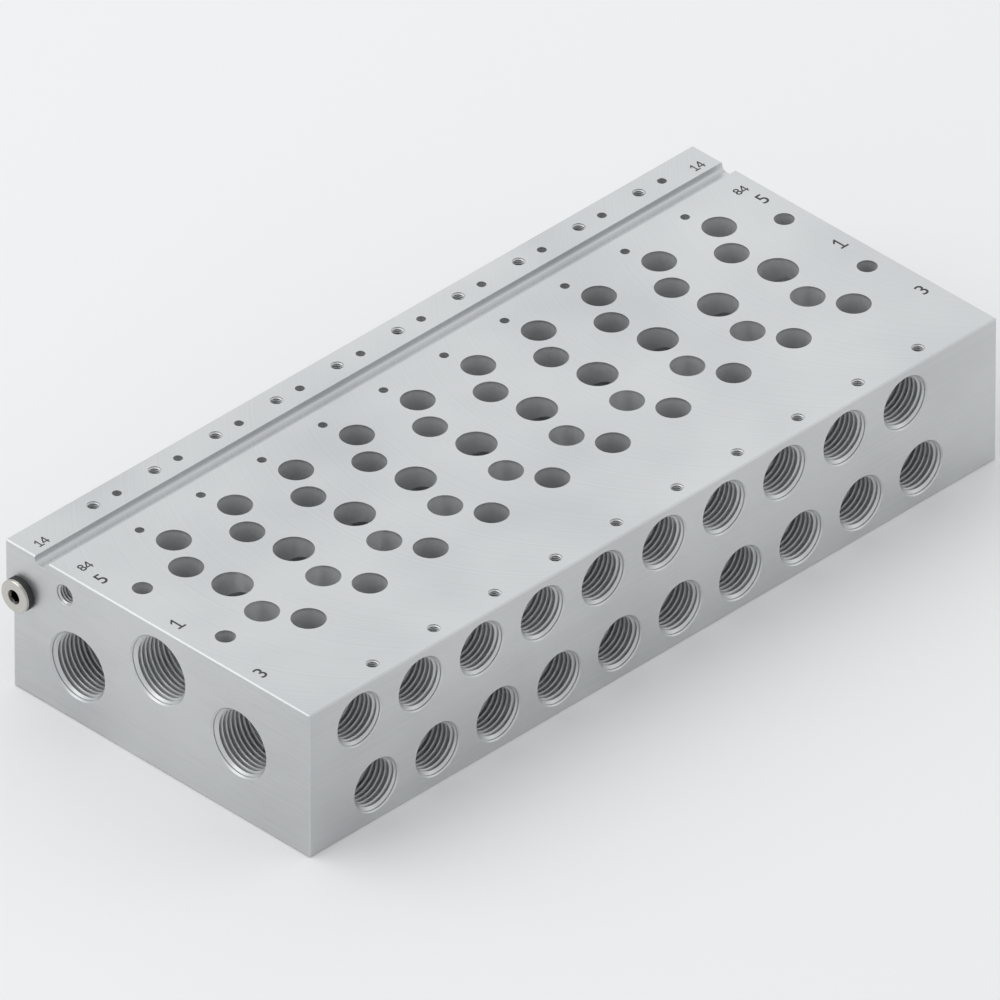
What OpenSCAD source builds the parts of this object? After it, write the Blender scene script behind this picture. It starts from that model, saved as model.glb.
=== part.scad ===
// Manifold block: a common base for a row of five-port valves.
// One drilled and tapped aluminium bar, with a screw plug and its sealing ring in one pilot port.
// Millimetres. X runs along the stations, Y from the outlet face to the back, Z is up.
// The origin is the centre of the four mounting holes, on the base.

/* [Stations] */
// Number of valve stations along the block
stations = 10; // [2:1:16]
// Distance between neighbouring stations
station_pitch = 19; // [18.5:0.5:26]

/* [Block] */
// Height from the base to the valve face
block_h = 38.4; // [37:0.2:46]
// From the valve centre line to the outlet face
front_w = 47.6; // [47:0.2:54]
// From the valve centre line to the upper back face
back_w = 47.8; // [47:0.2:54]
// Overhang of the upper back face past the lower one
back_step = 2.4; // [0.6:0.1:3]
// Height of the overhang above the base
step_h = 21.9; // [12:0.1:22]
// From the mounting holes to the left end face
left_margin = 8.25; // [6:0.05:14]
// From the mounting holes to the right end face
right_margin = 6.05; // [5:0.05:14]
// Width of the broken outer edges
edge_break = 0.3; // [0.1:0.05:0.6]

/* [Mounting holes] */
// Diameter of the four through holes
mount_d = 4.7; // [3:0.1:5.5]
// Distance between the two rows of mounting holes
mount_row_gap = 26; // [23:0.5:29]
// From the mounting holes to the nearest valve centre
mount_to_valve = 15.1; // [14:0.1:24]

/* [Groove behind the valve face] */
// From the valve centre line to the groove's front edge
groove_front = 34; // [33:0.1:35.5]
// Width of the groove at the valve face
groove_w = 4.5; // [3.6:0.1:5]
// Depth of the groove
groove_depth = 2.1; // [1.5:0.1:2.6]
// Radius where the floor turns up to the back strip
groove_r = 1.4; // [0.5:0.1:1.4]
// How far the sloping front wall leans back
groove_slope = 1.7; // [0.5:0.1:2]

/* [Valve seats] */
// Diameter of the supply hole 1
supply_hole_d = 9.4; // [7:0.1:10.5]
// Diameter of the work holes 2 and 4
work_hole_d = 8; // [6:0.1:8.5]
// Diameter of the exhaust holes 3 and 5
exhaust_hole_d = 8; // [6:0.1:8.5]
// Offset of the work holes along the stations, from the valve centre
work_hole_x = -2.65; // [-3.4:0.05:-2]
// Offset of the work holes across the block
work_hole_y = 11.9; // [11.7:0.05:12.2]
// Offset of the exhaust holes along the stations
exhaust_hole_x = 2.65; // [2:0.05:3.2]
// Offset of the exhaust holes across the block
exhaust_hole_y = 21.1; // [20.8:0.05:21.6]
// Diameter of the pilot holes
pilot_hole_d = 2.2; // [1.5:0.1:2.8]
// Offset of pilot hole 14 along the stations
pilot_14_hole_x = 6.35; // [5:0.05:7.5]
// Offset of pilot hole 14 across the block
pilot_14_hole_y = 42.8; // [42.5:0.05:43.4]

/* [Valve screws] */
// Nominal diameter of the valve screws
screw_d = 3; // [2.5:0.5:3]
// Depth of the tapped holes
screw_depth = 7; // [5:0.5:7.5]
// Offset of the screws across the block, from the valve centre
screw_y = 43.2; // [42.8:0.05:43.6]
// Offset of the screws along the stations, one to each side
screw_x = 0.55; // [0:0.05:1]

/* [Supply and exhaust galleries] */
// Diameter of the three long galleries
gallery_d = 13.5; // [11:0.1:13.8]
// Distance from gallery 1 to galleries 3 and 5
gallery_gap = 25.3; // [25:0.05:25.8]
// Depth of gallery 1 below the valve face
gallery_1_depth = 11.75; // [11.3:0.05:12.2]
// Depth of gallery 3 below the valve face
gallery_3_depth = 18.7; // [18.4:0.05:18.8]
// Depth of gallery 5 below the valve face
gallery_5_depth = 23.55; // [22:0.05:25]

/* [Pilot galleries] */
// Diameter of the two pilot galleries
pilot_gallery_d = 4; // [3:0.1:4.4]
// From the valve centre line to pilot gallery 84
pilot_84_y = 29.2; // [28.6:0.05:29.8]
// Depth of pilot gallery 84 below the valve face
pilot_84_depth = 5.9; // [5.5:0.05:8]
// From the valve centre line to pilot gallery 14
pilot_14_y = 42.7; // [42.4:0.05:43.2]
// Depth of pilot gallery 14 below the valve face
pilot_14_depth = 12; // [11.6:0.05:12.6]

/* [End ports] */
// Thread diameter of ports 1, 3 and 5
end_port_d = 16.66; // [14:0.02:16.9]
// Depth of the threads of ports 1, 3 and 5
end_port_depth = 12; // [8:0.5:12]
// Width of the chamfer at the mouths of ports 1, 3 and 5
end_port_chamfer = 0.42; // [0.1:0.02:0.5]
// Thread diameter of the pilot ports
pilot_port_d = 5; // [4.5:0.1:5.6]
// Depth of the threads of the pilot ports
pilot_port_depth = 8; // [7:0.5:12]
// Width of the chamfer at the mouths of the pilot ports
pilot_port_chamfer = 0.15; // [0.05:0.05:0.3]

/* [Outlet ports] */
// Thread diameter of the outlet ports
outlet_d = 13.16; // [11:0.02:13.3]
// Depth of the outlet threads
outlet_depth = 12; // [9:0.5:12]
// Width of the chamfer at the outlet mouths
outlet_chamfer = 0.32; // [0.1:0.02:0.4]
// Offset of the upper outlets along the stations, from the valve centre
upper_outlet_x = -7.85; // [-7.9:0.05:-7.5]
// Depth of the upper outlets below the valve face
upper_outlet_depth = 8.75; // [8.4:0.05:9]
// Offset of the lower outlets along the stations
lower_outlet_x = -2.65; // [-3.2:0.05:-2]
// Depth of the lower outlets below the valve face
lower_outlet_depth = 29; // [28.5:0.1:29.2]

/* [Passages from outlets to work holes] */
// Diameter of the upper passages, over gallery 3
upper_passage_d = 6.4; // [5:0.1:6.6]
// Offset of the upper passages along the stations, from the valve centre
upper_passage_x = -6.35; // [-6.6:0.05:-6.1]
// Depth of the upper passages below the valve face
upper_passage_depth = 7.2; // [6.8:0.05:7.4]
// Diameter of the lower passages, under galleries 3 and 1
lower_passage_d = 6; // [5:0.1:6.4]
// Depth of the lower passages below the valve face
lower_passage_depth = 29.6; // [29.4:0.05:30.2]

/* [Pilot plug] */
// Diameter of the plug's head
plug_head_d = 8.1; // [7.2:0.1:8.6]
// Thickness of the plug's head
plug_head_t = 1; // [0.8:0.1:2]
// Width of the chamfers on the plug's head
plug_chamfer = 0.2; // [0.1:0.05:0.3]
// Length of the plug's threaded shank inside the block
plug_shank_l = 5; // [4:0.5:6.5]
// Width of the hexagon socket across its flats
socket_af = 2.5; // [2:0.1:2.8]
// Depth of the hexagon socket
socket_depth = 2.4; // [1.8:0.1:3]
// Diameter of the countersink around the socket
socket_mouth_d = 3.6; // [3.4:0.1:4.4]
// Clearance around the plug's shank in its port
plug_clearance = 0.05; // [0.02:0.01:0.1]

/* [Sealing ring] */
// Outer diameter of the sealing ring
seal_d = 8.2; // [7.6:0.1:8.8]
// Thickness of the sealing ring
seal_t = 1.5; // [1:0.1:2]
// Radius of the ring's outer corners
seal_round = 0.35; // [0.1:0.05:0.45]
// Clearance between the ring and the plug's shank
seal_clearance = 0.1; // [0.05:0.05:0.3]

/* [Hidden] */
$fn = 72;

// Cutters start this far outside the face that they cut
over = 1;
// Half the angle at the point of a twist drill
drill_half_angle = 59;
// Width of the drill's chisel edge, as a share of its diameter
drill_web = 0.1;
// Passages start this far inside the outlet ports
passage_lap = 1;

stations_l = (stations - 1) * station_pitch;
mount_x = stations_l / 2 + mount_to_valve;
left_x = -mount_x - left_margin;
right_x = mount_x + right_margin;
block_l = right_x - left_x;
lower_back_y = back_w - back_step;

function station_x(i) = -stations_l / 2 + i * station_pitch;
function at_depth(depth) = block_h - depth;
function drill_tip(d) = d / 2 * (1 - drill_web) / tan(drill_half_angle);
function afar(flats) = flats / cos(30);

// [distance from the valve centre line, depth below the valve face]
gallery_places = [
    [0, gallery_1_depth],
    [-gallery_gap, gallery_3_depth],
    [gallery_gap, gallery_5_depth],
];
pilot_places = [
    [pilot_84_y, pilot_84_depth],
    [pilot_14_y, pilot_14_depth],
];

// A drilled hole from z = 0 upwards, with the drill's pointed end at the bottom
module drilled(d, depth) {
    rotate_extrude()
        polygon([
            [0, -depth - drill_tip(d)],
            [d / 2 * drill_web, -depth - drill_tip(d)],
            [d / 2, -depth],
            [d / 2, over],
            [0, over],
        ]);
}

// A tapped port from z = 0 downwards, chamfered at its mouth and flat at its end
module port(d, depth, chamfer) {
    rotate_extrude()
        polygon([
            [0, -depth],
            [d / 2, -depth],
            [d / 2, -chamfer],
            [d / 2 + chamfer, 0],
            [d / 2 + chamfer, over],
            [0, over],
        ]);
}

// Lays out its children on the valve face, facing up
module on_top(x, y) {
    translate([x, y, block_h])
        children();
}

// Lays out its children on the outlet face, facing out of it
module on_front(x, depth) {
    translate([x, -front_w, at_depth(depth)])
        rotate([90, 0, 0])
        children();
}

// Lays out its children on both end faces, facing out of them
module on_ends(y, depth) {
    translate([left_x, y, at_depth(depth)])
        rotate([0, -90, 0])
        children();
    translate([right_x, y, at_depth(depth)])
        rotate([0, 90, 0])
        children();
}

// The bar's outline across its length, with its long edges broken
module bar_outline() {
    e = edge_break;
    polygon([
        [-front_w + e, 0],
        [lower_back_y - e, 0],
        [lower_back_y, e],
        [lower_back_y, step_h],
        [back_w - e, step_h],
        [back_w, step_h + e],
        [back_w, block_h - e],
        [back_w - e, block_h],
        [-front_w + e, block_h],
        [-front_w, block_h - e],
        [-front_w, e],
    ]);
}

// The groove's outline: a sloping front wall, a flat floor and a round up to the strip
module groove_outline() {
    back = groove_front + groove_w;
    floor_z = at_depth(groove_depth);
    round_y = back - groove_r;
    round_z = floor_z + groove_r;
    translate([round_y, round_z])
        circle(r = groove_r);
    polygon([
        [groove_front, block_h + over],
        [groove_front, block_h],
        [groove_front + groove_slope, floor_z],
        [round_y, floor_z],
        [round_y, round_z],
        [back, round_z],
        [back, block_h + over],
    ]);
}

// Extrudes an outline along X, past both ends by the given length
module along_block(past = 0) {
    translate([left_x - past, 0, 0])
        rotate([90, 0, 90])
        linear_extrude(block_l + 2 * past)
        children();
}

// Bars that break the edges around both end faces
module end_edge_breaks() {
    side = edge_break * sqrt(2);
    for (x = [left_x, right_x]) {
        for (z = [0, block_h])
            translate([x, 0, z])
                rotate([0, 45, 0])
                cube([side, 2 * max(front_w, back_w) + over, side], center = true);
        translate([x, -front_w, block_h / 2])
            rotate([0, 0, 45])
            cube([side, side, block_h + over], center = true);
        translate([x, back_w, block_h / 2])
            rotate([0, 0, 45])
            cube([side, side, block_h + over], center = true);
        translate([x, lower_back_y, step_h / 2 - over])
            rotate([0, 0, 45])
            cube([side, side, step_h + 2 * over - side], center = true);
    }
}

module mounting_holes() {
    for (x = [-mount_x, mount_x], y = [-mount_row_gap / 2, mount_row_gap / 2])
        translate([x, y, -over])
            cylinder(d = mount_d, h = block_h + 2 * over);
}

// The long galleries and their tapped mouths at both ends
module galleries() {
    for (place = gallery_places) {
        along_block(over)
            translate([place[0], at_depth(place[1])])
            circle(d = gallery_d);
        on_ends(place[0], place[1])
            port(end_port_d, end_port_depth, end_port_chamfer);
    }
    for (place = pilot_places) {
        along_block(over)
            translate([place[0], at_depth(place[1])])
            circle(d = pilot_gallery_d);
        on_ends(place[0], place[1])
            port(pilot_port_d, pilot_port_depth, pilot_port_chamfer);
    }
}

// The holes under one valve, drilled down to their galleries and passages
module valve_seat() {
    on_top(0, 0)
        drilled(supply_hole_d, gallery_1_depth);
    on_top(exhaust_hole_x, -exhaust_hole_y)
        drilled(exhaust_hole_d, gallery_3_depth);
    on_top(exhaust_hole_x, exhaust_hole_y)
        drilled(exhaust_hole_d, gallery_5_depth);
    on_top(work_hole_x, -work_hole_y)
        drilled(work_hole_d, upper_passage_depth);
    on_top(work_hole_x, work_hole_y)
        drilled(work_hole_d, lower_passage_depth);
    on_top(0, pilot_84_y)
        drilled(pilot_hole_d, pilot_84_depth);
    on_top(pilot_14_hole_x, pilot_14_hole_y)
        drilled(pilot_hole_d, pilot_14_depth);
    for (side = [-1, 1])
        on_top(-side * screw_x, side * screw_y)
            drilled(screw_d, screw_depth);
}

// The two outlet ports of one station and the passages behind them
module outlets() {
    on_front(upper_outlet_x, upper_outlet_depth)
        port(outlet_d, outlet_depth, outlet_chamfer);
    on_front(lower_outlet_x, lower_outlet_depth)
        port(outlet_d, outlet_depth, outlet_chamfer);
    passage(upper_passage_x, upper_passage_depth, upper_passage_d, -work_hole_y);
    passage(lower_outlet_x, lower_passage_depth, lower_passage_d, work_hole_y);
}

// A passage drilled from the bottom of an outlet port as far as end_y
module passage(x, depth, d, end_y) {
    start_y = -front_w + outlet_depth - passage_lap;
    translate([x, start_y, at_depth(depth)])
        rotate([90, 0, 0])
        translate([0, 0, -over])
        drilled(d, end_y - start_y - over);
}

module manifold_block() {
    color("lightgray")
        difference() {
            along_block()
                bar_outline();
            along_block(over)
                groove_outline();
            end_edge_breaks();
            mounting_holes();
            galleries();
            for (i = [0 : stations - 1])
                translate([station_x(i), 0, 0]) {
                    valve_seat();
                    outlets();
                }
        }
}

// Places its children on the axis of pilot gallery 14, with z = 0 on the left end face, facing out
module on_pilot_14() {
    translate([left_x, pilot_14_y, at_depth(pilot_14_depth)])
        rotate([0, -90, 0])
        children();
}

module pilot_plug() {
    head_r = plug_head_d / 2;
    shank_r = pilot_port_d / 2 - plug_clearance;
    head_z = seal_t + plug_head_t;
    c = plug_chamfer;
    color("silver")
        on_pilot_14()
        difference() {
            rotate_extrude()
                polygon([
                    [0, -plug_shank_l],
                    [shank_r - 2 * c, -plug_shank_l],
                    [shank_r, -plug_shank_l + 2 * c],
                    [shank_r, seal_t],
                    [head_r - c, seal_t],
                    [head_r, seal_t + c],
                    [head_r, head_z - c],
                    [head_r - c, head_z],
                    [0, head_z],
                ]);
            translate([0, 0, head_z - socket_depth])
                cylinder(d = afar(socket_af), h = socket_depth + over, $fn = 6);
            countersink_t = (socket_mouth_d - socket_af) / 2;
            translate([0, 0, head_z - countersink_t])
                cylinder(d1 = socket_af, d2 = socket_mouth_d, h = countersink_t);
        }
}

// A flat ring with round outer corners, between the end face and the plug's head
module plug_seal() {
    inner_r = pilot_port_d / 2 - plug_clearance + seal_clearance;
    outer_r = seal_d / 2;
    color("dimgray")
        on_pilot_14()
        rotate_extrude() {
            translate([inner_r, 0])
                square([outer_r - seal_round - inner_r, seal_t]);
            translate([inner_r, seal_round])
                square([outer_r - inner_r, seal_t - 2 * seal_round]);
            for (z = [seal_round, seal_t - seal_round])
                translate([outer_r - seal_round, z])
                    circle(r = seal_round);
        }
}

manifold_block();
pilot_plug();
plug_seal();
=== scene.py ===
# %% [markdown]
# # Dressing a drilled manifold block
#
# The object is the aluminium base that a row of ten air valves is screwed on to. Its solids are
# already made and packed: the block, a small screw plug, and the sealing ring under the plug.
# This script loads them as a fixed frame, in metres, and adds what solids leave out: the screw
# threads in the ports, the printed port numbers, the finish of every surface, and a small studio.

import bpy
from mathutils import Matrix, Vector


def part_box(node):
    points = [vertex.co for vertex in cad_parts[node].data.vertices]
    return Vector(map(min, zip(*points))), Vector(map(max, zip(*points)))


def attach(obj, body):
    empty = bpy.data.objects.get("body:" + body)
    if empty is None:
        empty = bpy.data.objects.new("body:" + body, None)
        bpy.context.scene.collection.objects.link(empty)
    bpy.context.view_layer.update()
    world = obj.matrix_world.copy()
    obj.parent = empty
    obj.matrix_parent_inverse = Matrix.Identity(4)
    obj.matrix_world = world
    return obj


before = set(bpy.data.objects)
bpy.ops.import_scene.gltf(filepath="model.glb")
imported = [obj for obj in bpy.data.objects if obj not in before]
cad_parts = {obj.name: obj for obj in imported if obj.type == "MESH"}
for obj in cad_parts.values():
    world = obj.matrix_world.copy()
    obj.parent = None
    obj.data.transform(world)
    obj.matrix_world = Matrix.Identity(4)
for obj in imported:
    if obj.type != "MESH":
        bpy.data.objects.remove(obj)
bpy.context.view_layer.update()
print("solids:", sorted(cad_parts))

# %% Modules and units
import math

import bpy
from mathutils import Vector

MM = 0.001
scene = bpy.context.scene

# The solids come in selected, and an operator acts on all that is selected.
bpy.ops.object.select_all(action="DESELECT")
print("one millimetre is", MM, "m")

# %% [markdown]
# ## Measuring the block
#
# A piece that is added later has to sit on the solid that carries it. The block's sizes could be
# typed in again, but two lists of the same sizes drift apart. So its faces are read from the
# frame, and the places of the holes follow from the few distances that a maker would write on
# the drawing of the block.

# %% Faces of the block
block_low, block_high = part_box("manifold_block")
left_face, right_face = block_low.x, block_high.x
front_face = block_low.y
top_face = block_high.z
print("block, mm:", [round(s / MM, 2) for s in block_high - block_low])

# %% Stations along the block
STATIONS = 10
STATION_PITCH = 19 * MM
first_station = -STATION_PITCH * (STATIONS - 1) / 2
station_x = [first_station + STATION_PITCH * i for i in range(STATIONS)]
print("stations at x, mm:", [round(x / MM, 1) for x in station_x])

# %% [markdown]
# ## The camera
#
# The reference is an isometric drawing. The eye looks along the diagonal of a cube, so the top,
# the front and the left end show equally, and parallel edges stay parallel. An orthographic
# camera draws just that, but it shows no more of an object when it moves away, so a view from
# another side may cut the object off. A camera that is far away behind a very long lens looks
# nearly the same and doesn't have that fault.

# %% Camera
# The width of the picture at the block, and the point of the valve face in its middle, were
# fitted to the drawing.
VIEW_WIDTH = 221.1 * MM
LENS = 1500
SENSOR = 36
SIGHT_PAST_BLOCK = 1.3
picture_centre = Vector((-21.1 * MM, -18.97 * MM, top_face))
towards_camera = Vector((-1, -1, 1)).normalized()
camera_distance = VIEW_WIDTH * LENS / SENSOR

bpy.ops.object.camera_add(location=picture_centre + towards_camera * camera_distance)
camera = bpy.context.object
camera.name = "camera"
camera.rotation_euler = (-towards_camera).to_track_quat("-Z", "Y").to_euler()
camera.data.lens = LENS
camera.data.sensor_width = SENSOR
camera.data.clip_end = camera_distance * SIGHT_PAST_BLOCK
scene.camera = camera
print("camera is", round(camera_distance, 2), "m away")

# %% [markdown]
# ## The studio
#
# A photographer would stand the block on a matt table with soft light all round it. A curved
# backdrop could be modelled, but a wide floor under a pale sky of nearly the same brightness
# gives the same even background from every side. Metal shows what stands round it, so the
# softboxes matter more for their size than for their power: a large one on the left of the
# picture lights the valve face, and two smaller ones, behind the block and on the right, light
# its other sides.


# %% A new material
def new_material(name, metallic, roughness):
    """Returns the material, its tree of nodes, and the shader in that tree."""
    material = bpy.data.materials.new(name)
    material.use_nodes = True
    shader = material.node_tree.nodes["Principled BSDF"]
    shader.inputs["Metallic"].default_value = metallic
    shader.inputs["Roughness"].default_value = roughness
    return material, material.node_tree, shader


# %% Floor
FLOOR_SIZE = 14
FLOOR_GREY = 0.86
bpy.ops.mesh.primitive_plane_add(size=FLOOR_SIZE, location=(0, 0, 0))
floor = bpy.context.object
floor.name = "floor"
floor_paint, _, floor_shader = new_material("floor_paint", 0.0, 0.9)
floor_shader.inputs["Base Color"].default_value = (FLOOR_GREY, FLOOR_GREY, FLOOR_GREY, 1)
floor_shader.inputs["Specular IOR Level"].default_value = 0.1
floor.data.materials.append(floor_paint)
print("floor is", FLOOR_SIZE, "m wide")

# %% Sky
SKY_COLOUR = (0.97, 0.985, 1, 1)
SKY_STRENGTH = 0.78
sky = bpy.data.worlds.new("sky")
sky.use_nodes = True
background = sky.node_tree.nodes["Background"]
background.inputs["Color"].default_value = SKY_COLOUR
background.inputs["Strength"].default_value = SKY_STRENGTH
scene.world = sky

# Standard shows the pale greys as they are set. The default transform would darken them.
scene.view_settings.view_transform = "Standard"
print("sky strength is", SKY_STRENGTH)


# %% Softboxes
def softbox(name, place, size, watts):
    """A square area light that faces the middle of the block."""
    place = Vector(place)
    bpy.ops.object.light_add(type="AREA", location=place)
    light = bpy.context.object
    light.name = name
    light.rotation_euler = (-place).to_track_quat("-Z", "Y").to_euler()
    light.data.size = size
    light.data.energy = watts
    print(name, watts, "W,", size, "m wide")


softbox("softbox_key", (-0.6, 0.6, 1.15), 1.4, 6.8)
softbox("softbox_back", (0.75, 0.65, 0.6), 0.6, 0.5)
softbox("softbox_front", (0.95, -0.6, 0.6), 0.7, 0.6)

# %% [markdown]
# ## Finishes
#
# Real metal is never one even colour: it shows how it was made. Photographs of metal could be
# laid over the faces, but they stretch and show seams. Here each finish is made of nodes that
# read Object coordinates, so its pattern is fixed to the block and has a real size. A few
# helpers keep the recipes short.


# %% Helpers that add nodes
def add(tree, kind, inputs=None, **settings):
    """Adds a node. An input may be given a value, or another node's output."""
    node = tree.nodes.new("ShaderNode" + kind)
    for key, value in settings.items():
        setattr(node, key, value)
    for key, value in (inputs or {}).items():
        if isinstance(value, bpy.types.NodeSocket):
            tree.links.new(value, node.inputs[key])
        else:
            node.inputs[key].default_value = value
    return node


def math_node(tree, operation, a, b=0.0):
    return add(tree, "Math", {0: a, 1: b}, operation=operation).outputs[0]


def mix_values(tree, share, first, second):
    """A Mix node has sockets for each kind of data. Its numbers go into sockets 2 and 3."""
    return add(tree, "Mix", {0: share, 2: first, 3: second}).outputs[0]


def map_range(tree, value, low, high, at_low, at_high):
    """Runs from at_low, where the value is low, to at_high, where it is high."""
    limits = {"From Min": low, "From Max": high, "To Min": at_low, "To Max": at_high}
    return add(tree, "MapRange", {"Value": value, **limits}).outputs["Result"]


# %% Helpers for patterns
def noise(tree, place, scale, detail):
    """Noise in all directions, on the object's own coordinates."""
    inputs = {"Vector": place.outputs["Object"], "Scale": scale, "Detail": detail}
    return add(tree, "TexNoise", inputs).outputs["Fac"]


def bands(tree, distance, per_metre, detail):
    """Noise that changes along one distance only, which leaves uneven bands across it."""
    inputs = {"W": math_node(tree, "MULTIPLY", distance, per_metre), "Scale": 1.0, "Detail": detail}
    return add(tree, "TexNoise", inputs, noise_dimensions="1D").outputs["Fac"]


def two_tones(tree, pattern, dark, pale, dark_at=0.0, pale_at=1.0):
    """Colours a pattern from the dark tone at its low values to the pale one at its high ones."""
    ramp = add(tree, "ValToRGB", {"Fac": pattern})
    low, high = ramp.color_ramp.elements
    low.position = dark_at
    low.color = (*dark, 1)
    high.position = pale_at
    high.color = (*pale, 1)
    return ramp.outputs["Color"]


def add_bump(tree, shader, height, strength, depth, edge_radius=0.0):
    """Gives the surface a fine relief. A radius softens the edges too, and the mesh stays as it is."""
    inputs = {"Height": height, "Strength": strength, "Distance": depth}
    if edge_radius:
        inputs["Normal"] = add(tree, "Bevel", {"Radius": edge_radius}, samples=4).outputs[0]
    bump = add(tree, "Bump", inputs)
    tree.links.new(bump.outputs["Normal"], shader.inputs["Normal"])


# %% [markdown]
# ### Anodised aluminium
#
# The bar is extruded, so its long sides carry fine lines along their length. The valve face is
# skimmed with a wide cutter, which leaves shallow arcs, and the ends are sawn and milled square.
# Anodising then turns it all into the same pale satin grey. One pattern for all faces would be
# simpler, but the block would look cast. So there are three sets of marks, made of noise that is
# stretched or bent, and the way that a surface faces chooses between them.

# %% Lines on the sides and the ends
MILLED_METALLIC = 0.9
aluminium, tree, shader = new_material("satin_anodising", MILLED_METALLIC, 0.4)
place = add(tree, "TexCoord")
xyz = add(tree, "SeparateXYZ", {0: place.outputs["Object"]})

# How often the noise changes in a metre of X, Y and Z. A small number makes a long line.
DRAWN_LINES = (20, 3000, 3000)
SAWN_LINES = (3000, 90, 2100)


def lines(changes):
    """Noise drawn out into lines along the axis where it changes least."""
    stretched = add(tree, "Mapping", {"Vector": place.outputs["Object"], "Scale": changes})
    inputs = {"Vector": stretched.outputs[0], "Scale": 1.0, "Detail": 3.0}
    return add(tree, "TexNoise", inputs).outputs["Fac"]


drawn = lines(DRAWN_LINES)
sawn = lines(SAWN_LINES)
print("lines change", DRAWN_LINES, "and", SAWN_LINES, "times in a metre")

# %% Arcs on the valve face
CUTTER_R = 65 * MM
ARCS_PER_M = 1300.0

# Points with the same X plus this reach lie on one arc of the cutter.
across = math_node(tree, "MULTIPLY", xyz.outputs["Y"], xyz.outputs["Y"])
reach = math_node(tree, "SQRT", math_node(tree, "SUBTRACT", CUTTER_R**2, across))
arc = math_node(tree, "ADD", xyz.outputs["X"], reach)
skimmed = bands(tree, arc, ARCS_PER_M, detail=3.0)
print("arcs of a cutter", round(2 * CUTTER_R / MM), "mm wide")

# %% Choosing the marks by the way a surface faces
# A normal that reaches this far along an axis counts as facing that way.
UPWARDS = 0.9
ENDWAYS = 0.95
facing = add(tree, "SeparateXYZ", {0: place.outputs["Normal"]})
is_top = math_node(tree, "GREATER_THAN", facing.outputs["Z"], UPWARDS)
along = math_node(tree, "ABSOLUTE", facing.outputs["X"])
is_end = math_node(tree, "GREATER_THAN", along, ENDWAYS)
marks = mix_values(tree, is_top, drawn, skimmed)
marks = mix_values(tree, is_end, marks, sawn)
print("sides, top and ends have marks of their own")

# %% Colour and gloss of the aluminium
DARK_SATIN = (0.53, 0.54, 0.55)
PALE_SATIN = (0.64, 0.65, 0.655)
MARKS_IN_COLOUR = 0.6
cloud = noise(tree, place, scale=25.0, detail=2.0)
tone = math_node(tree, "ADD", cloud, math_node(tree, "MULTIPLY", marks, MARKS_IN_COLOUR))
colour = two_tones(tree, tone, DARK_SATIN, PALE_SATIN, dark_at=0.45, pale_at=0.958333)
tree.links.new(colour, shader.inputs["Base Color"])

# Nearly all of a noise lies between 0.3 and 0.7.
GLOSSIEST, DULLEST = 0.34, 0.46
gloss = map_range(tree, marks, 0.3, 0.7, GLOSSIEST, DULLEST)
tree.links.new(gloss, shader.inputs["Roughness"])
print("roughness from", GLOSSIEST, "to", DULLEST)

# %% Fine relief and softened edges
EDGE_ROUNDING = 0.12 * MM
GRAIN_IN_RELIEF = 0.5
grain = noise(tree, place, scale=6000.0, detail=2.0)
height = math_node(tree, "ADD", marks, math_node(tree, "MULTIPLY", grain, GRAIN_IN_RELIEF))
add_bump(tree, shader, height, strength=0.35, depth=0.02 * MM, edge_radius=EDGE_ROUNDING)
print("edges look rounded by", round(EDGE_ROUNDING / MM, 2), "mm")

# %% [markdown]
# ### Walls of the drilled holes
#
# A drill leaves a duller wall than the cutter that skims the faces. A second material could be
# put on the walls, but the block is one mesh with one slot for its material, and that is left as
# it is. So the material finds the walls by itself: what is deeper inside than all the outer
# faces can only be in a hole. The groove is open to the outside as well, so the distance is
# taken in front of it, and behind it as far as the back face under the overhang. A less
# metallic wall scatters light, and then the depth of a hole shows, where a mirror of dark
# walls would look black.

# %% How far inside the block a point is
GROOVE_FRONT, GROOVE_BACK = 34 * MM, 38.5 * MM
LOWER_BACK = 45.4 * MM


def between(axis, low, high):
    """How far inside two faces a point is, measured from the nearer one."""
    past_low = math_node(tree, "SUBTRACT", xyz.outputs[axis], low)
    past_high = math_node(tree, "SUBTRACT", high, xyz.outputs[axis])
    return math_node(tree, "MINIMUM", past_low, past_high)


before_groove = between("Y", front_face, GROOVE_FRONT)
behind_groove = between("Y", GROOVE_BACK, LOWER_BACK)
in_width = math_node(tree, "MAXIMUM", before_groove, behind_groove)
in_length = between("X", left_face, right_face)
in_height = between("Z", 0.0, top_face)
inward = math_node(tree, "MINIMUM", math_node(tree, "MINIMUM", in_length, in_width), in_height)
valve_side, back_strip = GROOVE_FRONT - front_face, LOWER_BACK - GROOVE_BACK
print("beside the groove, mm:", round(valve_side / MM, 1), "and", round(back_strip / MM, 1))

# %% Duller metal inside the holes
DRILLED_METALLIC = 0.45
DULL_FROM, DULL_FULLY = 0.3 * MM, 0.8 * MM
metallic = map_range(tree, inward, DULL_FROM, DULL_FULLY, MILLED_METALLIC, DRILLED_METALLIC)
tree.links.new(metallic, shader.inputs["Metallic"])
print("aluminium has", len(tree.nodes), "nodes")

# %% [markdown]
# ### Metal of the threads
#
# Threads are cut last, with a sharp tap, so they are as bright as the milled faces. Their metal
# could be a new recipe, but it is the same aluminium. So the recipe is copied, the link that
# dulls the walls is taken out, and a constant stands in its place.

# %% Bright metal for the threads
cut_metal = aluminium.copy()
cut_metal.name = "cut_threads"
cut_tree = cut_metal.node_tree
metallic_socket = cut_tree.nodes["Principled BSDF"].inputs["Metallic"]
cut_tree.links.remove(metallic_socket.links[0])
metallic_socket.default_value = MILLED_METALLIC
print("threads are", MILLED_METALLIC, "metallic, drilled walls", DRILLED_METALLIC)

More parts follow.
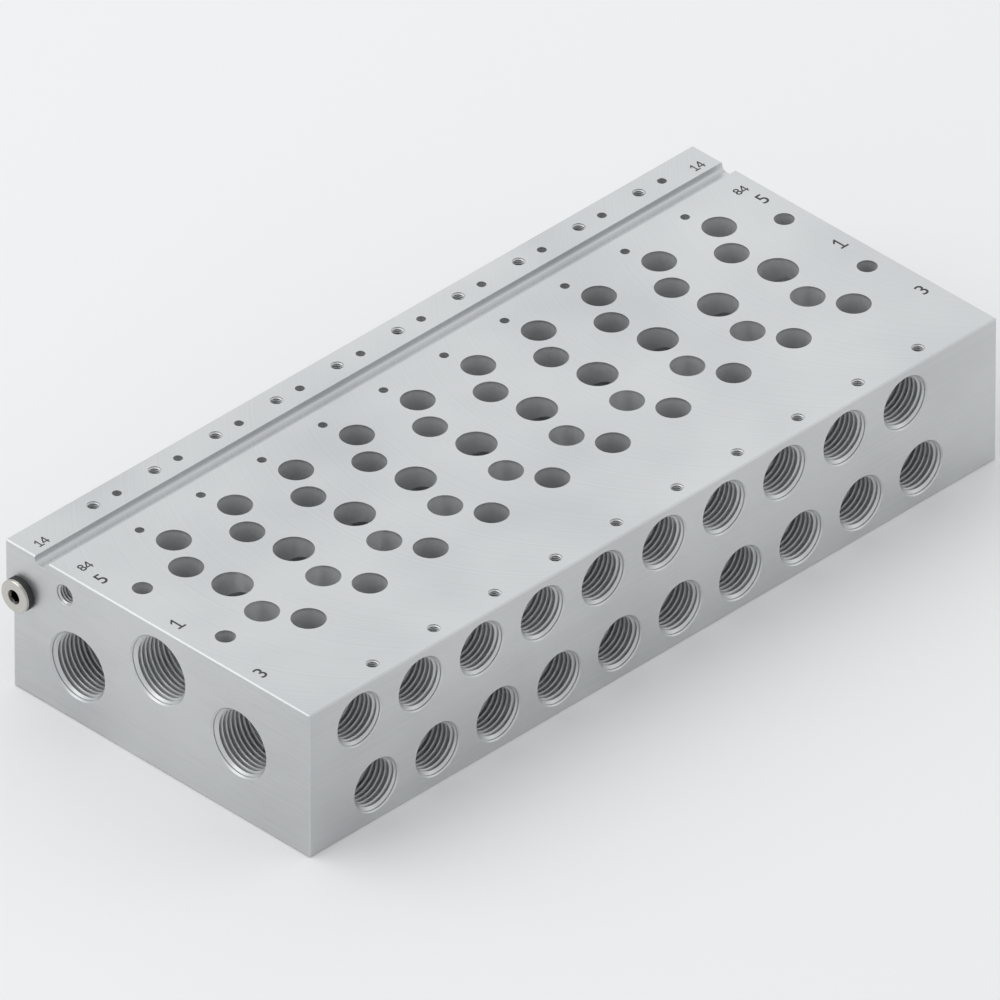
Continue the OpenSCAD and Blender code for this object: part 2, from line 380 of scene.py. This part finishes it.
# %% [markdown]
# ### Nickel plate
#
# The plug is turned and then nickel plated, so it is brighter and slightly warm, with fine rings
# round its axis. A texture of waves would space them too evenly. Noise that is given only the
# distance from the axis leaves rings as uneven as a lathe does. The mouth of the hexagon socket is
# painted nearly black, as painted shade in the hollow, and the same distance says where it is.

# %% Rings round the axis of the plug
# The plug is in pilot port 14. Y and Z of its axis:
PILOT_14 = (42.7 * MM, top_face - 12 * MM)
RINGS_PER_M = 6000.0
nickel, tree, shader = new_material("turned_nickel_plate", 1.0, 0.24)
place = add(tree, "TexCoord")
xyz = add(tree, "SeparateXYZ", {0: place.outputs["Object"]})
aside = math_node(tree, "SUBTRACT", xyz.outputs["Y"], PILOT_14[0])
above = math_node(tree, "SUBTRACT", xyz.outputs["Z"], PILOT_14[1])
aside_squared = math_node(tree, "MULTIPLY", aside, aside)
above_squared = math_node(tree, "MULTIPLY", above, above)
from_axis = math_node(tree, "SQRT", math_node(tree, "ADD", aside_squared, above_squared))
turned = bands(tree, from_axis, RINGS_PER_M, detail=2.0)
print("rings round y and z, mm:", [round(c / MM, 1) for c in PILOT_14])

# %% Colour and relief of the plug
SOCKET_MOUTH_R = 1.8 * MM
# Painted shade: the colour put inside the mouth of the hexagon socket.
PAINTED_SOCKET_SHADE = (0.10, 0.095, 0.09, 1)
DARK_NICKEL = (0.54, 0.52, 0.48)
PALE_NICKEL = (0.66, 0.64, 0.60)
plated = two_tones(tree, turned, DARK_NICKEL, PALE_NICKEL, dark_at=0.3, pale_at=0.7)
inside, outside = SOCKET_MOUTH_R - 0.1 * MM, SOCKET_MOUTH_R + 0.05 * MM
# Where painted shade goes: 1 inside the socket's mouth, falling to 0 just outside it.
painted_socket_shade_mask = map_range(tree, from_axis, inside, outside, 1.0, 0.0)

# The colours of a Mix node go into sockets 6 and 7 and come out of socket 2.
colour = add(tree, "Mix", {0: painted_socket_shade_mask, 6: plated, 7: PAINTED_SOCKET_SHADE}, data_type="RGBA")
tree.links.new(colour.outputs[2], shader.inputs["Base Color"])
add_bump(tree, shader, turned, strength=0.3, depth=0.01 * MM, edge_radius=0.06 * MM)
print("nickel has", len(tree.nodes), "nodes")

# %% [markdown]
# ### Rubber and ink
#
# The sealing ring is moulded rubber, nearly black with a fine matt skin. The port numbers are
# printed in dark ink. A single dark colour would make both look like holes in the picture. So
# fine noise moves each between two dark tones, and gives the rubber a slight relief too.

# %% Black rubber
DARK_RUBBER = (0.012, 0.012, 0.013)
PALE_RUBBER = (0.035, 0.035, 0.036)
rubber, tree, shader = new_material("moulded_rubber", 0.0, 0.6)
skin = noise(tree, add(tree, "TexCoord"), scale=4000.0, detail=3.0)
tree.links.new(two_tones(tree, skin, DARK_RUBBER, PALE_RUBBER), shader.inputs["Base Color"])
add_bump(tree, shader, skin, strength=0.4, depth=0.03 * MM)
print("rubber has", len(tree.nodes), "nodes")

# %% Marking ink
DARK_INK = (0.010, 0.010, 0.011)
PALE_INK = (0.050, 0.050, 0.052)
ink, tree, shader = new_material("marking_ink", 0.0, 0.5)
film = noise(tree, add(tree, "TexCoord"), scale=3000.0, detail=4.0)
tree.links.new(two_tones(tree, film, DARK_INK, PALE_INK), shader.inputs["Base Color"])
print("ink has", len(tree.nodes), "nodes")

# %% Put the finishes on the solids
finishes = {"manifold_block": aluminium, "pilot_plug": nickel, "plug_seal": rubber}
for name, finish in finishes.items():
    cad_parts[name].material_slots[0].material = finish
    print(name, "is", finish.name)

# %% [markdown]
# ## Screw threads
#
# A tapped hole is a hole with one long ridge wound round its wall. A stack of rings would be
# quicker to make, but rings don't climb, and no screw could enter them. So the ridge is a real
# helix. The solids have the hole at the thread's outer diameter, and only the ridge is missing.
# Its section is drawn as a plane, the crest is made narrower than the foot, and a Screw modifier
# winds it up the hole. At the bottom it fades into the wall, as it does where a tap stopped. Last,
# a cone takes off what would stand in the countersink at the mouth, as the countersinking tool
# does.

# %% Drawing the section of a ridge
# The foot reaches a little way into the wall, so that no gap shows between the two.
FOOT_IN_WALL = 0.03 * MM
FOOT_HEIGHT = 0.9


def ridge_section(foot, crest, pitch, lowest):
    """A face in the XZ plane, from the wall to the crest. FOOT_HEIGHT is in pitches."""
    bpy.ops.mesh.primitive_plane_add(
        size=1, location=((foot + crest) / 2, 0, lowest), rotation=(math.pi / 2, 0, 0)
    )
    ridge = bpy.context.object
    ridge.scale = (foot - crest, FOOT_HEIGHT * pitch, 1)
    bpy.ops.object.transform_apply(location=True, rotation=True, scale=True)
    return ridge


# %% Narrowing the crest
NEAR_CREST = 0.01 * MM

# The crest is a quarter as high as the foot, and its rounding is in pitches.
CREST_TO_FOOT = 0.25
CREST_ROUNDING = 0.07


def narrow_crest(ridge, crest, pitch, lowest):
    """Draws the two corners at the crest together and rounds them."""
    bpy.ops.object.mode_set(mode="EDIT")
    bpy.ops.mesh.select_all(action="DESELECT")
    bpy.ops.object.mode_set(mode="OBJECT")
    for vertex in ridge.data.vertices:
        vertex.select = vertex.co.x < crest + NEAR_CREST
    bpy.ops.object.mode_set(mode="EDIT")
    bpy.ops.transform.resize(value=(1, 1, CREST_TO_FOOT), center_override=(crest, 0, lowest))
    bpy.ops.mesh.bevel(offset=CREST_ROUNDING * pitch, segments=1, affect="VERTICES")
    bpy.ops.object.mode_set(mode="OBJECT")


# %% Winding the ridge round the hole
FULL_TURN = 2 * math.pi

# An end of the ridge has six sides. Openings with more sides than this stay open.
MOST_SIDES = 12


def wind(ridge, pitch, turns, steps):
    """Sweeps the section up a helix and closes its two ends."""
    helix = ridge.modifiers.new("helix", "SCREW")
    helix.axis = "Z"
    helix.angle = FULL_TURN
    helix.screw_offset = pitch
    helix.iterations = turns
    helix.steps = helix.render_steps = steps
    helix.use_smooth_shade = False
    bpy.ops.object.modifier_apply(modifier="helix")
    bpy.ops.object.mode_set(mode="EDIT")
    bpy.ops.mesh.select_all(action="SELECT")
    bpy.ops.mesh.fill_holes(sides=MOST_SIDES)
    bpy.ops.mesh.normals_make_consistent(inside=False)
    bpy.ops.object.mode_set(mode="OBJECT")


# %% Fading the ridge out at the bottom
FADE_ANGLE = math.radians(220)

# The share of its height that the ridge keeps at its very end, so no face is squashed flat.
LEAST_HEIGHT = 0.02

# The ridge begins at angle 0. This keeps rounding errors from putting that at a full turn.
ANGLE_MARGIN = 0.01


def fade_out(ridge, foot, pitch, lowest):
    """Sinks the first part of the lowest turn into the wall, where the tap stopped."""
    for vertex in ridge.data.vertices:
        x, y, z = vertex.co
        turned = (math.atan2(y, x) + ANGLE_MARGIN) % FULL_TURN
        climb = z - lowest - pitch * turned / FULL_TURN
        in_first_turn = climb < pitch / 2
        if in_first_turn and turned < FADE_ANGLE:
            height = max(turned / FADE_ANGLE, LEAST_HEIGHT)
            radius = math.hypot(x, y)
            shift = (foot - (foot - radius) * height) / radius
            vertex.co = (x * shift, y * shift, z)


# %% Selecting one piece
def select_only(piece):
    """Operators act on what is selected, so nothing else may be."""
    bpy.ops.object.select_all(action="DESELECT")
    piece.select_set(True)
    bpy.context.view_layer.objects.active = piece


# %% Countersinking the mouth
CONE_SIDES = 64

# The cone goes this far below the place where it meets the crest, and above the mouth.
PAST_CREST = 0.3 * MM
PITCHES_ABOVE = 2
SMOOTH_UNDER = math.radians(25)


def countersink(ridge, mouth_r, crest, pitch):
    """Takes a cone of 90 degrees out of the ridge. It is as wide as mouth_r at the mouth."""
    deep = mouth_r - crest + PAST_CREST
    above = PITCHES_ABOVE * pitch
    bpy.ops.mesh.primitive_cone_add(
        vertices=CONE_SIDES,
        radius1=mouth_r - deep,
        radius2=mouth_r + above,
        depth=deep + above,
        location=(0, 0, (above - deep) / 2),
    )
    cone = bpy.context.object
    select_only(ridge)
    cut = ridge.modifiers.new("cut", "BOOLEAN")
    cut.operation = "DIFFERENCE"
    cut.solver = "EXACT"
    cut.object = cone
    bpy.ops.object.modifier_apply(modifier="cut")
    bpy.data.objects.remove(cone)
    bpy.ops.object.shade_smooth_by_angle(angle=SMOOTH_UNDER)


# %% One thread, with its axis on Z and its mouth at the origin
START_BELOW = 0.2


def thread(major, minor, pitch, chamfer, depth, steps):
    """Sizes in mm. The ridge starts a fifth of a pitch below the countersink."""
    major, minor, pitch, chamfer, depth = (v * MM for v in (major, minor, pitch, chamfer, depth))
    foot = major / 2 + FOOT_IN_WALL
    crest = minor / 2

    # The ridge stands on the bottom of the thread. It has a turn to spare at the mouth, where
    # the cone takes off what stands out.
    lowest = -depth + 0.5 * pitch
    turns = math.ceil(depth / pitch) + 1
    ridge = ridge_section(foot, crest, pitch, lowest)
    narrow_crest(ridge, crest, pitch, lowest)
    wind(ridge, pitch, turns, steps)
    fade_out(ridge, foot, pitch, lowest)
    countersink(ridge, major / 2 + chamfer + START_BELOW * pitch, crest, pitch)
    print("thread of", turns, "turns has", len(ridge.data.polygons), "faces")
    return ridge


# %% [markdown]
# ### Threads in their holes
#
# The block has 49 open threads of four sizes. Each could be wound in its own place, but threads
# of one size are alike. So each size is modelled once and copied to every hole of that size.
# Each copy gets its own mesh and is turned to face out of its hole, and the copies of one size
# are joined into one piece that rides on the block.


# %% Joining parts into one piece
def join_as(name, parts, finish):
    """Makes one object of the parts, with one name and one finish."""
    select_only(parts[0])
    for part in parts:
        part.select_set(True)
    bpy.ops.object.join()
    joined = bpy.context.object
    joined.name = name
    joined.data.name = name
    joined.data.materials.clear()
    joined.data.materials.append(finish)
    return joined


# %% Copying a thread into its holes
def tap_holes(name, ridge, mouths, outwards):
    """Puts a copy of the ridge at each mouth. outwards is the way the holes open."""
    copies = []
    for mouth, out in zip(mouths, outwards):
        select_only(ridge)
        bpy.ops.object.duplicate()
        copy = bpy.context.object
        copy.rotation_euler = Vector(out).to_track_quat("Z", "Y").to_euler()
        copy.location = mouth
        bpy.ops.object.transform_apply(location=True, rotation=True, scale=True)
        copies.append(copy)
    bpy.data.objects.remove(ridge)
    joined = join_as(name, copies, cut_metal)
    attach(joined, "root")
    joined.data.calc_loop_triangles()
    print(name, "in", len(copies), "holes,", len(joined.data.loop_triangles), "triangles")


# %% [markdown]
# ### Outlet ports
#
# Each valve has two outlets in the front face, one in the upper row and one in the lower, and
# a fitting screws into each. They are G1/4 pipe threads. Twenty places could be typed in, but
# a place that is measured from its station stays right for all ten.

# %% Threads of the outlet ports
# How far along from the station, and how far below the valve face.
UPPER_OUTLET = (-7.85 * MM, 8.75 * MM)
LOWER_OUTLET = (-2.65 * MM, 29 * MM)
mouths = [
    Vector((x + offset, front_face, top_face - below))
    for x in station_x
    for offset, below in (UPPER_OUTLET, LOWER_OUTLET)
]
ridge = thread(major=13.157, minor=11.445, pitch=1.337, chamfer=0.32, depth=12, steps=40)
tap_holes("outlet_threads", ridge, mouths, [(0, -1, 0)] * len(mouths))

# %% [markdown]
# ### Ports in the ends
#
# Port 1 takes in the air for all the valves, and ports 3 and 5 let it out. They are G3/8 pipe
# threads. Their galleries are drilled right through the block, so both ends have the same
# places, and one loop over the two ends serves.

# %% Threads of the ports in the ends
# The place across the block, and how far below the valve face.
PORT_1 = (0.0, 11.75 * MM)
PORT_3 = (-25.3 * MM, 18.7 * MM)
PORT_5 = (25.3 * MM, 23.55 * MM)
mouths, outwards = [], []
for face, out in ((left_face, -1), (right_face, 1)):
    for y, below in (PORT_1, PORT_3, PORT_5):
        mouths.append(Vector((face, y, top_face - below)))
        outwards.append((out, 0, 0))
ridge = thread(major=16.66, minor=14.95, pitch=1.337, chamfer=0.42, depth=12, steps=48)
tap_holes("end_port_threads", ridge, mouths, outwards)

# %% [markdown]
# ### Pilot ports
#
# Ports 84 and 14 carry the air that switches the valves, through small M5 threads. At the left
# end, port 14 is closed by the plug. A thread round the plug could never be seen, so only the
# three open ports get one.

# %% Threads of the open pilot ports
# Y and Z of the axis, as for pilot port 14 above.
PILOT_84 = (29.2 * MM, top_face - 5.9 * MM)
mouths = [
    Vector((left_face, *PILOT_84)),
    Vector((right_face, *PILOT_84)),
    Vector((right_face, *PILOT_14)),
]
ridge = thread(major=5.0, minor=4.134, pitch=0.8, chamfer=0.15, depth=8, steps=28)
tap_holes("pilot_port_threads", ridge, mouths, [(-1, 0, 0), (1, 0, 0), (1, 0, 0)])

# %% [markdown]
# ### Holes for the valve screws
#
# Two M3 screws hold each valve, one at the front and one in the back strip. From the camera
# their threads are only a few pixels wide. A bump could stand for them, but it has no depth in
# a closer view, so they are modelled too, with fewer steps to a turn.

# %% Threads for the screws that hold the valves
# How far along from the station, and the place across the block.
FRONT_SCREW = (0.55 * MM, -43.2 * MM)
BACK_SCREW = (-0.55 * MM, 43.2 * MM)
mouths = [
    Vector((x + offset, y, top_face))
    for x in station_x
    for offset, y in (FRONT_SCREW, BACK_SCREW)
]
ridge = thread(major=3.0, minor=2.459, pitch=0.5, chamfer=0.05, depth=7, steps=20)
tap_holes("valve_screw_threads", ridge, mouths, [(0, 0, 1)] * len(mouths))

# %% [markdown]
# ## Port numbers
#
# The numbers on the valve face say which port is which. They are printed, so each figure is a
# film of ink, a little proud of the metal. An image on the face would blur in a close view, so
# they are real shapes. Blender's own font has plain figures that suit a machine part. Only its 1
# is a bare stroke and its 4 nearly closes up when it is small, so those two are drawn as flat
# outlines instead, the 1 with a flag and a foot.

# %% Sizes of the print
SINGLE_HEIGHT = 3.75 * MM
PAIR_HEIGHT = 2.5 * MM
STROKE_GROWTH = 0.03 * MM
INK_THICKNESS = 0.02 * MM
print("figures are", round(SINGLE_HEIGHT / MM, 2), "and", round(PAIR_HEIGHT / MM, 2), "mm high")

# %% A figure from the font
FIGURE_IN_FONT = 0.73


def typed_figure(character, height):
    """A figure fills 0.73 of the size that its text has."""
    bpy.ops.object.text_add()
    figure = bpy.context.object
    figure.data.body = character
    figure.data.align_x = "CENTER"
    figure.data.align_y = "CENTER"
    figure.data.size = height / FIGURE_IN_FONT
    return figure


# %% The outlines of 1 and 4, in parts of the height, from the middle of the foot
ONE = [
    [
        (-0.30, 0),
        (0.30, 0),
        (0.30, 0.11),
        (0.055, 0.11),
        (0.055, 1),
        (-0.03, 1),
        (-0.28, 0.76),
        (-0.28, 0.63),
        (-0.055, 0.83),
        (-0.055, 0.11),
        (-0.30, 0.11),
    ]
]
FOUR = [
    [
        (0.10, 0),
        (0.21, 0),
        (0.21, 0.24),
        (0.34, 0.24),
        (0.34, 0.35),
        (0.21, 0.35),
        (0.21, 1),
        (0.08, 1),
        (-0.36, 0.35),
        (-0.36, 0.24),
        (0.10, 0.24),
    ],
    [(0.10, 0.35), (0.10, 0.84), (-0.23, 0.35)],
]
OUTLINES = {"1": ONE, "4": FOUR}
print("drawn figures:", sorted(OUTLINES))


# %% A figure drawn from its outlines
def drawn_figure(character, height):
    """An outline inside another one is a hole."""
    shape = bpy.data.curves.new("figure", "CURVE")
    shape.dimensions = "2D"
    shape.fill_mode = "BOTH"
    for outline in OUTLINES[character]:
        spline = shape.splines.new("POLY")
        spline.points.add(len(outline) - 1)
        for point, (x, y) in zip(spline.points, outline):
            point.co = (x * height, (y - 0.5) * height, 0, 1)
        spline.use_cyclic_u = True
    figure = bpy.data.objects.new("figure", shape)
    scene.collection.objects.link(figure)
    return figure


# %% Printing a number
FIGURE_SPACING = 0.7


def printed_number(number, corner_x, corner_y):
    """The middle of the number is measured from the front left corner of the valve face."""
    height = SINGLE_HEIGHT if len(number) == 1 else PAIR_HEIGHT
    figures = []
    for i, character in enumerate(number):
        draw = drawn_figure if character in OUTLINES else typed_figure
        figure = draw(character, height)
        figure.data.extrude = INK_THICKNESS
        figure.data.offset = STROKE_GROWTH
        select_only(figure)
        bpy.ops.object.convert(target="MESH")
        figure = bpy.context.object
        print(character, "is", [round(d / MM, 2) for d in figure.dimensions], "mm")
        aside = (i - (len(number) - 1) / 2) * FIGURE_SPACING * height
        figure.location = (
            left_face + corner_x * MM + aside,
            front_face + corner_y * MM,
            top_face,
        )
        bpy.ops.object.transform_apply(location=True, rotation=True, scale=True)
        figures.append(figure)
    return figures


# %% Print all the numbers and join them
# The middle of each number, in mm, at the left end and at the right end.
NUMBERS = {
    "14": [(4.9, 88.95), (210.4, 88.9)],
    "84": [(5.1, 75.4), (210.5, 75.3)],
    "5": [(4.25, 69.4), (211.6, 69.4)],
    "1": [(4.1, 45.6), (211.4, 45.2)],
    "3": [(3.95, 19.1), (211.5, 19.3)],
}
prints = [
    figure
    for number, places in NUMBERS.items()
    for x, y in places
    for figure in printed_number(number, x, y)
]
port_numbers = join_as("port_numbers", prints, ink)
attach(port_numbers, "root")
print("numbers:", len(prints), "figures,", len(port_numbers.data.polygons), "faces")
